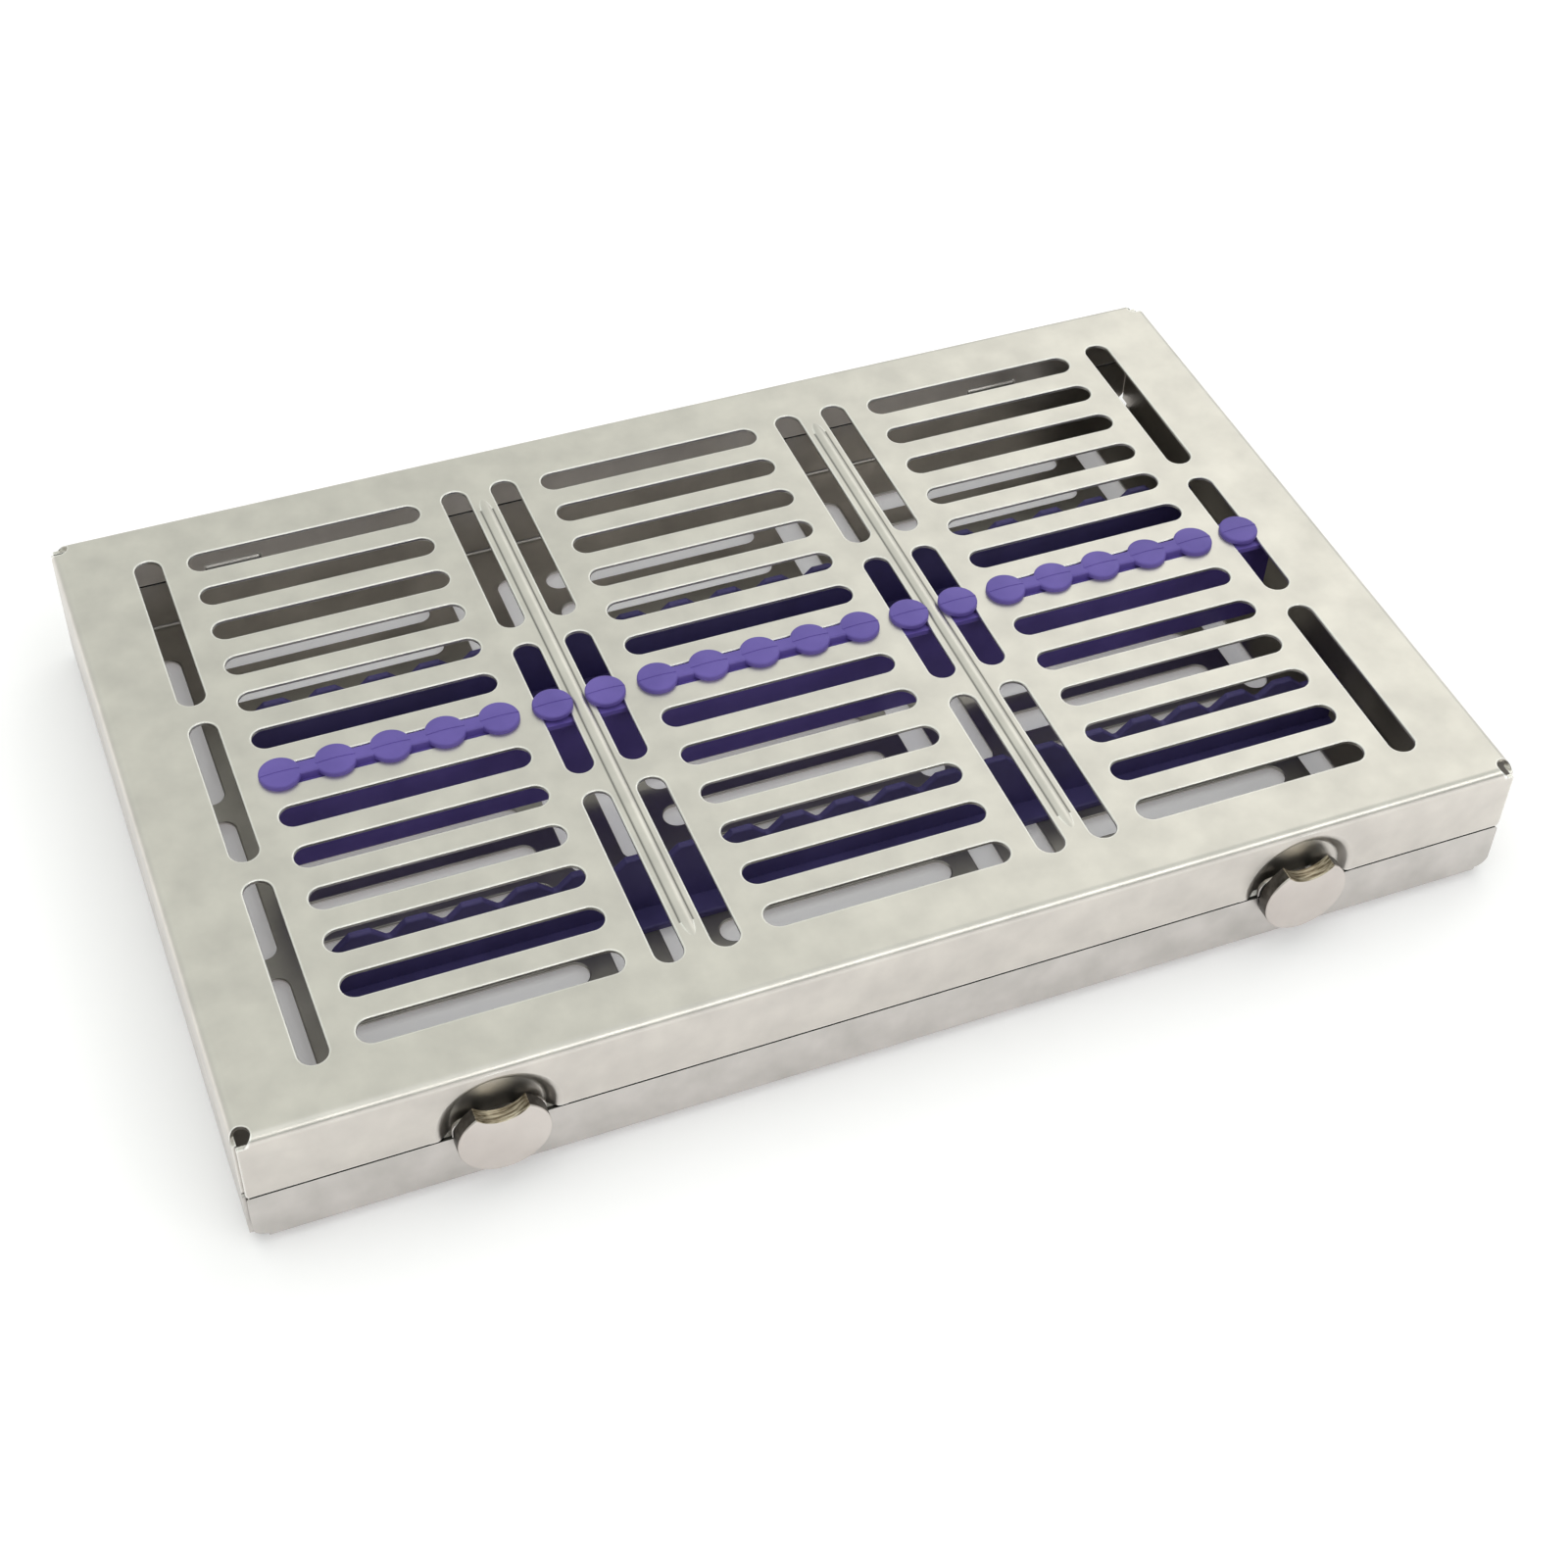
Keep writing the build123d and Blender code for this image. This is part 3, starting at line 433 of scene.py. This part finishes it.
def floor():
    """A pale floor that glows a little towards what sees it directly, so that the shadow is grey; less
    glow near and under the object paints shade there.
    """
    mesh = bpy.data.meshes.new("floor")
    corners = [(x * FLOOR_HALF, y * FLOOR_HALF, 0) for x, y in ((-1, -1), (1, -1), (1, 1), (-1, 1))]
    mesh.from_pydata(corners, [], [(0, 1, 2, 3)])
    item = bpy.data.objects.new("floor", mesh)
    bpy.context.scene.collection.objects.link(item)
    material, tree, shader = shaded("floor_white")
    shader.inputs["Base Color"].default_value = (*FLOOR_COLOR, 1)
    shader.inputs["Roughness"].default_value = FLOOR_ROUGHNESS
    shader.inputs["Specular IOR Level"].default_value = FLOOR_SPECULAR
    x, y, _ = axes(tree, coordinate(tree))
    past = [
        calculate(tree, "MAXIMUM", from_middle(tree, value, start), 0.0)
        for value, start in zip((x, y), GLOW_FROM)
    ]
    share = calculate(tree, "DIVIDE", length(tree, *past), GLOW_RISE)
    shown = met_by(tree, "Is Camera Ray", "Is Glossy Ray", "Is Transmission Ray")
    # less glow near and under the object: painted shade there
    glow = product(tree, shown, spread(tree, share, *FLOOR_GLOW))
    shader.inputs["Emission Color"].default_value = (1, 1, 1, 1)
    tree.links.new(glow, shader.inputs["Emission Strength"])
    mesh.materials.append(material)


def camera():
    """The camera at its place, turned by its right and up."""
    lens = bpy.data.cameras.new("camera")
    lens.lens = CAMERA_LENS
    lens.sensor_width = CAMERA_SENSOR
    item = bpy.data.objects.new("camera", lens)
    right = Vector(CAMERA_RIGHT).normalized()
    up = Vector(CAMERA_UP).normalized()
    turn = Matrix((right, up, right.cross(up))).transposed().to_4x4()
    item.matrix_world = Matrix.Translation(CAMERA_PLACE) @ turn
    bpy.context.scene.collection.objects.link(item)
    bpy.context.scene.camera = item


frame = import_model()

materials = {
    "tray_steel": steel("tray_steel", tray_painted_shade, EDGE_ROUND),
    "lid_steel": steel("lid_steel", lid_polish_and_painted_light, EDGE_ROUND),
    "latch_steel": steel("latch_steel"),
    "pin_steel": steel("pin_steel"),
    "spring_steel": steel("spring_steel"),
    "rivet_steel": steel("rivet_steel"),
    "knob_steel": knob_steel(),
    "strip_silicone": silicone("strip_silicone"),
    "rail_silicone": silicone("rail_silicone"),
}
slots = {part["node"]: part["material_slot"] for part in frame["record"]["subparts"]}
for name, item in frame["nodes"].items():
    item.data.materials.clear()
    item.data.materials.append(materials[slots[name]])

world()
for name, setting in LAMPS.items():
    lamp(name, *setting)
floor()
camera()
bpy.context.scene.view_settings.view_transform = "Standard"
